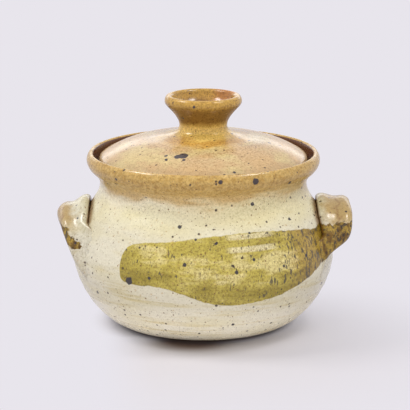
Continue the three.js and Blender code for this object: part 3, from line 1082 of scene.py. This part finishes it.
# Pale tone of the painted glare rows.
OLIVE_GLARE = screen(214, 203, 168)
OLIVE_DARK = screen(48, 43, 40)
OLIVE_BROWN = (0.86, 0.7, 0.5)
DEEP_TO_OLIVE = (0.34, 0.52)
OLIVE_TO_PALE = (0.5, 0.66)
BROWN_DEGREES = (34, 54)
OLIVE_GRAIN = 0.8
OLIVE_COVER = 0.97


def add_swipe(glaze, colour, degrees, share):
    """Lays the olive glaze over a colour, browner towards the handle."""
    tone = swipe_tone(glaze, degrees)
    olive = glaze.blend(glaze.step(tone, *DEEP_TO_OLIVE), OLIVE_DEEP, OLIVE)
    olive = glaze.blend(glaze.step(tone, *OLIVE_TO_PALE), olive, OLIVE_PALE)
    olive = glaze.tint(olive, glaze.step(degrees, *BROWN_DEGREES), OLIVE_BROWN)
    # Painted highlight: the pale glare rows.
    olive = glaze.blend(painted_glare_rows(glaze, degrees), olive, OLIVE_GLARE)
    olive = add_grain(glaze, olive, OLIVE_GRAIN)
    olive = glaze.blend(dark_dashes(glaze, degrees), olive, OLIVE_DARK)
    return glaze.blend(glaze.times(share, OLIVE_COVER), colour, olive)


# %% [markdown]
# The cream glaze of the pot. From the foot up it is a pale cream with faint ochre lines
# that follow the wheel, then a tan shoulder where the ochre dip ran down, and an ochre
# rim. Near the foot the cream is made lighter: painted light, which lifts the shade on the
# lower belly. The gallery under the lid was wiped bare and toasted brown, the inside is
# ochre, and the foot is bare clay. The bare brown runs a little above the foot, where it is
# also painted contact shade along the bottom edge.

# %% Cream glaze
# Painted light: the cream near the foot is lighter, to lift the shade on the lower belly.
CREAM_FOOT_PAINTED_LIGHT = screen(246, 239, 218)
CREAM_BELLY = screen(209, 202, 180)
CREAM_NECK = screen(216, 208, 174)
FOOT_TO_BELLY = (8 * MM, 42 * MM)
BELLY_TO_NECK = (84 * MM, 100 * MM)
CLOUD_TINT = (0.96, 0.94, 0.84)
WHEEL_TINT = (0.86, 0.8, 0.62)
WHEEL_LINES = (84 * MM, 30 * MM, 0.45, 0.95)
CREAM_GRAIN = 0.11


def cream_colour(glaze):
    """Pale cream with clouds and lines of warmer glaze, lightest near the foot as painted light.
    """
    # Painted light: lighter cream towards the foot.
    cream = glaze.blend(glaze.step(glaze.height, *FOOT_TO_BELLY), CREAM_FOOT_PAINTED_LIGHT, CREAM_BELLY)
    cream = glaze.blend(glaze.step(glaze.height, *BELLY_TO_NECK), cream, CREAM_NECK)
    clouds = glaze.noise(glaze.stretch(glaze.place, 1, 1, 3), 45 * MM, detail=3.0)
    cream = glaze.tint(cream, glaze.step(clouds, 0.42, 0.66), CLOUD_TINT)
    lines = glaze.step(glaze.wheel_noise(60 * MM, 12), 0.5, 0.7)
    lines = glaze.times(lines, glaze.step(glaze.height, *WHEEL_LINES))
    return add_grain(glaze, glaze.tint(cream, lines, WHEEL_TINT), CREAM_GRAIN)


# %% Shoulder and rim
SHOULDER_LEFT = screen(226, 217, 190)
SHOULDER_RIGHT = screen(215, 203, 160)
LEFT_TO_RIGHT = (-60 * MM, 40 * MM)
TAN_DEEP = screen(192, 162, 106)
OCHRE_RIM = screen(186, 154, 90)
OCHRE_DEEP = screen(168, 132, 66)
SHOULDER_HEIGHTS = (92 * MM, 108 * MM)
TAN_HEIGHTS = (104 * MM, 118 * MM)
RIM_HEIGHTS = (116.5 * MM, 120 * MM)
DIP_WANDER = 40 * MM
RIM_WANDER = 0.06
UPPER_GRAIN = (95 * MM, 118 * MM, 0.08, 0.6)


def pot_outside(glaze):
    """The outside colours from the foot up to the rim, with a wandering edge to the dip."""
    colour = cream_colour(glaze)
    wander = glaze.times(glaze.minus(glaze.wheel_noise(44 * MM, 3), 0.5), DIP_WANDER)
    height = glaze.plus(glaze.height, wander)
    shoulder = glaze.blend(glaze.step(glaze.x, *LEFT_TO_RIGHT), SHOULDER_LEFT, SHOULDER_RIGHT)
    colour = glaze.blend(glaze.step(height, *SHOULDER_HEIGHTS), colour, shoulder)
    colour = glaze.blend(glaze.step(height, *TAN_HEIGHTS), colour, TAN_DEEP)
    mottle = glaze.noise(glaze.place, 3 * MM, detail=4.0, roughness=0.6)
    rim = glaze.blend(glaze.step(mottle, 0.4, 0.66), OCHRE_RIM, OCHRE_DEEP)
    rim_edge = glaze.plus(glaze.height, glaze.times(wander, RIM_WANDER))
    colour = glaze.blend(glaze.step(rim_edge, *RIM_HEIGHTS), colour, rim)
    return add_grain(glaze, colour, glaze.step(glaze.height, *UPPER_GRAIN))


# %% Pot glaze
TOASTED = screen(96, 58, 36)
# Bare clay of the foot, also used a little above the foot as painted contact shade.
BARE_CLAY_AND_CONTACT_SHADE = screen(108, 76, 54)
INSIDE_GLAZE = screen(196, 166, 112)
# Deep ochre of glaze pooled in the slots, darkened as painted shade.
POOLED_OCHRE_AND_SHADE = screen(124, 86, 36)
POOLED_STRENGTH = 0.8
GALLERY_HEIGHTS = (NECK_HEIGHT + 4 * MM, NECK_HEIGHT + 8 * MM)
BARE_AND_SHADED_BELOW = (3.8 * MM, 2.8 * MM)
POT_SPOTS = [
    (25.3, 89.9, 129.1, 5.0),
    (-46.4, 89.9, 126.3, 2.6),
    (27, 79.6, 109.8, 3.2),
    (-11.7, 86.1, 95.7, 3.0),
    (-33, 100.9, 54.6, 6.0),
    (-17.5, 92.0, 33.8, 3.6),
    (-26.9, 85.0, 25.2, 2.6),
]

glaze = Glaze("cream glaze")
colour = pot_outside(glaze)
# Pooled glaze and painted shade on the wall near the slots by the straps.
colour = glaze.blend(glaze.times(glaze.note("pooled_and_shaded"), POOLED_STRENGTH), colour, POOLED_OCHRE_AND_SHADE)
degrees = front_degrees(glaze)
colour = add_swipe(glaze, colour, degrees, swipe_share(glaze, degrees))
lining = glaze.blend(glaze.step(glaze.height, *GALLERY_HEIGHTS), INSIDE_GLAZE, TOASTED)
colour = glaze.blend(glaze.note("inside"), colour, lining)
colour = add_spots(glaze, add_specks(glaze, colour), POT_SPOTS)
# Bare clay on the foot, running a little higher as painted shade along the bottom edge.
colour = glaze.blend(glaze.step(glaze.height, *BARE_AND_SHADED_BELOW), colour, BARE_CLAY_AND_CONTACT_SHADE)
pot.data.materials.append(finish_glaze(glaze, colour, 0.16, 0.3, 0.12 * MM))


# %% [markdown]
# The straps carry the same cream, thinned by handling. The glaze ran off the outer ridge,
# which fired tan with a brown line along it, more on the right strap than on the left. In
# the slot it pooled to a deep ochre, darkened further as painted shade, and where the swipe
# crosses a strap it burnt darker.

# %% Strap ridge
STRAP_TAN = screen(166, 136, 74)
STRAP_THIN = (0.86, 0.87, 0.9)
STRAP_LINE = screen(118, 78, 40)
PATCH_PULL = 1.5
RIGHT_STRAP_MORE = (-1 * MM, 1 * MM, 0.0, 0.7)
TAN_FROM_EDGE = (0.35, 1.3)
LINE_AT = 1.62
LINE_HALF = (0.16, 0.02, 0.0, 0.45)
HIGH_ON_STRAP = (76 * MM, 90 * MM, 0.1, 0.9)
STRAP_GRAIN = 0.3


def strap_colour(glaze):
    """Thin cream that breaks to tan along the outer ridge, high up on the strap."""
    patches = glaze.noise(glaze.place, 11 * MM, detail=3.0)
    to_edge = glaze.math("MULTIPLY_ADD", patches, PATCH_PULL, glaze.note("across"))
    to_edge = glaze.plus(to_edge, glaze.step(glaze.x, *RIGHT_STRAP_MORE))
    high = glaze.step(glaze.height, *HIGH_ON_STRAP)
    colour = glaze.tint(cream_colour(glaze), 1.0, STRAP_THIN)
    tan = glaze.times(glaze.step(to_edge, *TAN_FROM_EDGE), high)
    colour = glaze.blend(tan, colour, STRAP_TAN)
    off_line = glaze.math("ABSOLUTE", glaze.minus(to_edge, LINE_AT))
    line = glaze.times(glaze.step(off_line, *LINE_HALF), high)
    return add_grain(glaze, glaze.blend(line, colour, STRAP_LINE), STRAP_GRAIN)


# %% Strap glaze
STRAP_RAGGED = 7 * MM
OLIVE_BURNT = (0.4, 0.32, 0.24)
BURNT_PATCHES = (0.38, 0.6)
POOLED_IN_SLOT = (0.2, 1.0, 0.0, 0.85)

glaze = Glaze("strap glaze")
degrees = front_degrees(glaze)
share = swipe_share(glaze, degrees, ragged=STRAP_RAGGED)
colour = add_swipe(glaze, strap_colour(glaze), degrees, share)
burnt = glaze.noise(glaze.stretch(glaze.place, 1, 1, 0.5), 4 * MM, detail=3.0)
burnt = glaze.times(glaze.step(burnt, *BURNT_PATCHES), share)
colour = glaze.tint(colour, burnt, OLIVE_BURNT)
# Pooled glaze and painted shade in the slot.
pooled_and_shaded = glaze.step(glaze.note("pooled_and_shaded"), *POOLED_IN_SLOT)
colour = add_specks(glaze, glaze.blend(pooled_and_shaded, colour, POOLED_OCHRE_AND_SHADE))
strap_look = finish_glaze(glaze, colour, 0.14, 0.28, 0.12 * MM)
for strap in straps.values():
    strap.data.materials.append(strap_look)


# %% [markdown]
# The lid and knob share one ochre glaze. It is thick and amber on the knob, where it
# pooled, and thin and pale out on the dome.

# %% Dome colours
LID_OCHRE = screen(180, 150, 108)
LID_PINK = screen(186, 154, 108)
LID_CREAM = screen(190, 168, 118)
LID_AMBER = screen(206, 172, 94)
# Painted reflection of the knob: a darker amber band on the dome in front of it.
PAINTED_KNOB_REFLECTION = screen(178, 130, 54)
AMBER_REACH = (40 * MM, 22 * MM)
RUN_WANDER = 22 * MM
# How much further the amber reaches to the front: painted reflection of the knob.
REFLECTION_FORWARD = -0.22
STREAK_BAND = (20 * MM, 25 * MM, 27 * MM, 34 * MM)
IN_FRONT = (0, -20 * MM, 0.0, 0.75)


def dome_colour(glaze, ragged):
    """Streaks of ochre, pink and cream, amber glaze round the knob, and a painted reflection of
    the knob: the amber reaches further to the front, with a darker band there.
    """
    streaks = glaze.wheel_noise(30 * MM, 2)
    colour = glaze.blend(glaze.step(streaks, 0.42, 0.64), LID_OCHRE, LID_CREAM)
    colour = glaze.blend(glaze.step(streaks, 0.52, 0.34), colour, LID_PINK)
    reach = glaze.math("MULTIPLY_ADD", glaze.minus(ragged, 0.5), -RUN_WANDER, glaze.radius)
    # The amber reaches further to the front as a painted reflection of the knob.
    reach = glaze.minus(reach, glaze.times(glaze.y, REFLECTION_FORWARD))
    colour = glaze.blend(glaze.step(reach, *AMBER_REACH), colour, LID_AMBER)
    # Painted reflection of the knob, in front of it only.
    knob_reflection = glaze.times(glaze.band(reach, *STREAK_BAND), glaze.step(glaze.y, *IN_FRONT))
    return glaze.blend(knob_reflection, colour, PAINTED_KNOB_REFLECTION)


# %% Knob colours
KNOB_FOOT = screen(208, 172, 88)
KNOB_LIP = screen(176, 138, 62)
KNOB_CUP = screen(202, 158, 72)
KNOB_NECK = screen(112, 76, 27)
KNOB_RUST = screen(170, 106, 52)
LIP_ABOVE = (21 * MM, 27 * MM)
CUP_ABOVE = (20 * MM, 22 * MM)
CUP_WITHIN = (25 * MM, 22 * MM)
KNOB_ABOVE = (0, 4 * MM)
NECK_BAND = (8 * MM, 14 * MM, 22 * MM, 28 * MM)
NECK_STRENGTH = 0.92
RUST_ABOVE = (16 * MM, 22 * MM, 0.0, 0.75)
RUST_RIGHT = (4 * MM, 14 * MM)
RUST_BACK = (2 * MM, 12 * MM)


def add_knob(glaze, colour, above):
    """Amber at the knob's foot, a deep brown neck, an ochre lip and a touch of rust."""
    knob_colour = glaze.blend(glaze.step(above, *LIP_ABOVE), KNOB_FOOT, KNOB_LIP)
    cup = glaze.times(glaze.step(glaze.radius, *CUP_WITHIN), glaze.step(above, *CUP_ABOVE))
    knob_colour = glaze.blend(cup, knob_colour, KNOB_CUP)
    colour = glaze.blend(glaze.step(above, *KNOB_ABOVE), colour, knob_colour)
    neck = glaze.times(glaze.band(above, *NECK_BAND), NECK_STRENGTH)
    colour = glaze.blend(neck, colour, KNOB_NECK)
    to_right = glaze.step(glaze.x, *RUST_RIGHT)
    to_back = glaze.step(glaze.y, *RUST_BACK)
    rust = glaze.times(to_right, to_back, glaze.step(above, *RUST_ABOVE))
    return glaze.blend(rust, colour, KNOB_RUST)


# %% Lid glaze
LID_SPOTS = [
    (-19.0, 57.8, 142.0, 6.0),
    (-15.4, 56.4, 142.6, 7.8),
    (-13.5, 29.6, 174.5, 2.2),
]
KNOB_WANDER = 5 * MM
LID_GRAIN = (LID_TOP - 12 * MM, LID_TOP, 0.4, 0.7)
LID_SEAT = (LID_TOP - 21.5 * MM, LID_TOP - 22.5 * MM)


def lid_look(name):
    glaze = Glaze(name)
    ragged = glaze.noise(glaze.place, 12 * MM, detail=4.0)
    wander = glaze.times(glaze.minus(ragged, 0.5), KNOB_WANDER)
    above = glaze.plus(glaze.minus(glaze.height, LID_TOP), wander)
    colour = add_knob(glaze, dome_colour(glaze, ragged), above)
    colour = add_grain(glaze, colour, glaze.step(glaze.height, *LID_GRAIN))
    colour = add_spots(glaze, add_specks(glaze, colour, dusty=0.65), LID_SPOTS)
    colour = glaze.blend(glaze.step(glaze.height, *LID_SEAT), colour, TOASTED)
    return finish_glaze(glaze, colour, 0.12, 0.26, 0.1 * MM)


lid.data.materials.append(lid_look("ochre glaze"))
knob.data.materials.append(lid_look("amber glaze"))
